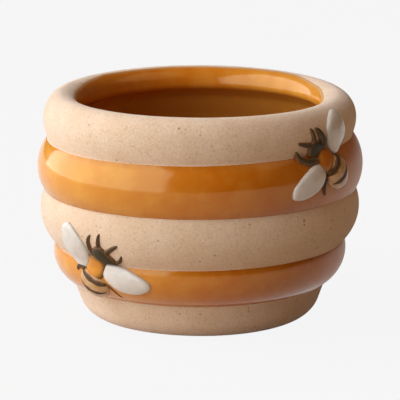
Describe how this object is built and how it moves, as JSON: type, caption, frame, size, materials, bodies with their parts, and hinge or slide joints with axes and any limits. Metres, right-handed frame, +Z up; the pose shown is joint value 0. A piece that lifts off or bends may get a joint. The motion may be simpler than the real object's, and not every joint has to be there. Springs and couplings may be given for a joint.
{
  "type": "beehive plant pot",
  "caption": "Round stoneware plant pot in stacked bulging rings with glazed bands, a rolled rim, a glazed hollow inside and bees pressed on in relief.",
  "frame": {"origin": "the middle of the underside, on the pot's axis, at the height of the surface that it stands on", "axes": "+Z up along the pot's axis; the side with both bees faces -Y, the lower bee towards -X and the upper one towards +X"},
  "size_m": [0.14, 0.14, 0.0974],
  "materials": {
    "bare_clay": "matte, sandy, speckled",
    "honey_glaze": "glossy",
    "white_glaze": "satin",
    "tan_slip": "satin",
    "dark_slip": "satin"
  },
  "bodies": {
    "root": {"liner_glaze": "honey_glaze", "lower_band_glaze": "honey_glaze", "lower_bee_abdomen": "tan_slip", "lower_bee_antennae": "dark_slip", "lower_bee_forelegs": "dark_slip", "lower_bee_head": "dark_slip", "lower_bee_hind_legs": "dark_slip", "lower_bee_left_wing": "white_glaze", "lower_bee_right_wing": "white_glaze", "lower_bee_stripes": "dark_slip", "lower_bee_thorax": "honey_glaze", "pot_body": "bare_clay", "upper_band_glaze": "honey_glaze", "upper_bee_abdomen": "tan_slip", "upper_bee_antennae": "dark_slip", "upper_bee_forelegs": "dark_slip", "upper_bee_head": "dark_slip", "upper_bee_hind_legs": "dark_slip", "upper_bee_left_wing": "white_glaze", "upper_bee_right_wing": "white_glaze", "upper_bee_stripes": "dark_slip", "upper_bee_thorax": "honey_glaze"}
  },
  "joints": []
}
